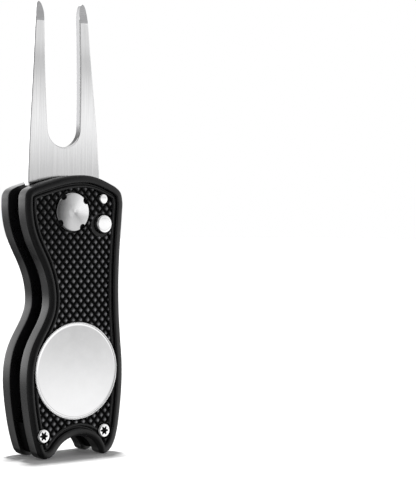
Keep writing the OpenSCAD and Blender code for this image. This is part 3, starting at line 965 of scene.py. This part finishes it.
def build_floor():
    pale = Material("pale_floor")
    pale.surface({
        "Base Color": pale.mottle(pale.noise(scale=30, detail=2), 0.955, 0.975),
        "Roughness": 0.6,
        "Specular IOR Level": 0.2,
        "Emission Color": (1, 1, 1, 1),
        "Emission Strength": 0.05})
    half, gap = 4, 0.00002                    # metres
    mesh = bpy.data.meshes.new("floor")
    mesh.from_pydata([(-half, -half, 0), (half, -half, 0), (half, half, 0), (-half, half, 0)],
                     [], [(0, 1, 2, 3)])
    floor = new_object("floor", mesh)
    floor.location = (0, 0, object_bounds()[0].z - gap)
    paint(floor, pale)
    floor.visible_glossy = False


# brightness by the height of the view direction
FRONT_SCREEN = [
    (-0.145, 1.0), (-0.12, 0.92), (-0.1035, 0.81), (-0.087, 0.66), (-0.071, 0.515),
    (-0.055, 0.60), (-0.03, 0.97), (0.019, 1.0), (0.027, 0.58), (0.042, 0.56), (0.051, 0.82),
    (0.062, 0.96), (0.080, 0.96), (0.090, 0.84), (0.0985, 0.62), (0.106, 0.52), (0.116, 0.54),
    (0.129, 0.80), (0.145, 0.86), (0.20, 0.66), (0.34, 0.62)]
BACK_STRIP = [
    (-0.58, 0.42), (-0.50, 0.27), (-0.43, 0.21), (-0.34, 0.155), (-0.20, 0.085),
    (-0.14, 0.11), (-0.10, 0.16), (-0.06, 0.27), (-0.03, 0.33), (0.05, 0.46), (0.2, 0.48),
    (0.30, 0.36), (0.40, 0.33), (0.50, 0.45), (0.58, 0.52)]


def build_world():
    """Soft boxes seen only in reflections; other rays meet an even grey or white."""
    world = bpy.data.worlds.new("studio")
    scene.world = world
    world.use_nodes = True
    world.cycles.sampling_method = "NONE"
    graph = Graph(world.node_tree)
    direction = graph.add("TexCoord").outputs["Generated"]

    def lobe(azimuth, edge, core, level, base=0.0, rise=0.0):
        """Glow toward an azimuth in degrees from +X, growing from edge to core (cosines)."""
        turn = math.radians(azimuth)
        axis = Vector((math.cos(turn), math.sin(turn), rise)).normalized()
        return graph.map_range(graph.vector("DOT_PRODUCT", direction, axis), (edge, core),
                               (base, level), "SMOOTHSTEP")

    height = graph.vector("DOT_PRODUCT", direction, (0, 0, 1))
    # large soft panel to the front right, brighter about its middle and uneven in height
    front_right = graph.math(
        "MULTIPLY",
        graph.math("MULTIPLY", lobe(-25, edge=0.68, core=0.815, level=1.0),
                   lobe(-20, edge=0.81, core=0.95, level=1.34, base=1.0)),
        graph.lookup(height, (-0.2, 0.4), FRONT_SCREEN))
    # strip to the back left, which lights the side walls
    back_left = graph.math("MULTIPLY", lobe(138, edge=0.72, core=0.96, level=6.0),
                           graph.lookup(height, (-0.6, 0.6), BACK_STRIP))
    front_left = lobe(219, edge=0.89, core=0.98, level=0.42)
    high_back = lobe(86, edge=0.80, core=0.905, level=1.7, rise=0.50)
    front = lobe(-120, edge=0.70, core=0.86, level=0.18)
    top = graph.map_range(height, (0.55, 0.85), (0.0, 0.85), "SMOOTHSTEP")
    ambient = 0.07
    boxes = graph.math("ADD", graph.math("ADD", front_right, back_left),
                       graph.math("ADD", front_left, high_back))
    fill = graph.math("ADD", graph.math("ADD", top, front), ambient)
    reflected = graph.math("ADD", boxes, fill)

    # white to the camera, dim grey to diffuse rays
    rays = graph.add("LightPath").outputs
    diffuse = 0.28
    plain = graph.math("ADD", graph.math("MULTIPLY", rays["Is Camera Ray"], 0.72), diffuse)
    level = graph.add("Mix", {"Factor": rays["Is Glossy Ray"], "A": plain, "B": reflected},
                      data_type="FLOAT").outputs["Result"]
    grey = graph.add("CombineColor", {k: level for k in range(3)}).outputs["Color"]
    graph.feed(graph.tree.nodes["Background"], {"Strength": 1.0, "Color": grey})


def build_overhead():
    """One broad light, a little behind the tool, for the soft shadow on the floor."""
    light = bpy.data.lights.new("overhead", "SUN")
    light.energy = 3.4
    light.angle = math.radians(5.5)
    sun = new_object("overhead", light)
    sun.location = (0.036, 0.081, 0.9)
    sun.rotation_euler = Vector((-0.040, -0.090, -1.0)).to_track_quat("-Z", "Y").to_euler()
    sun.visible_glossy = False


def build_camera():
    """Long lens from the front left, nearly level."""
    eye = point(-213.085, -314.760, -2.381)
    right = Vector((0.7743356, -0.63270626, 0.00933612))
    up = Vector((0.00169563, 0.01682894, 0.99985695))
    forward = Vector((0.63277287, 0.774209, -0.01410408))
    lens = bpy.data.cameras.new("camera")
    lens.sensor_width = 36.0
    lens.lens = 109.5301848
    lens.clip_start, lens.clip_end = 0.01, 50
    camera = new_object("camera", lens)
    rows = [(right[i], up[i], -forward[i], eye[i]) for i in range(3)]
    camera.matrix_world = Matrix(rows + [(0, 0, 0, 1)])
    scene.camera = camera


build_floor()
build_world()
build_overhead()
scene.view_settings.view_transform = "Standard"
scene.view_settings.look = "None"
build_camera()
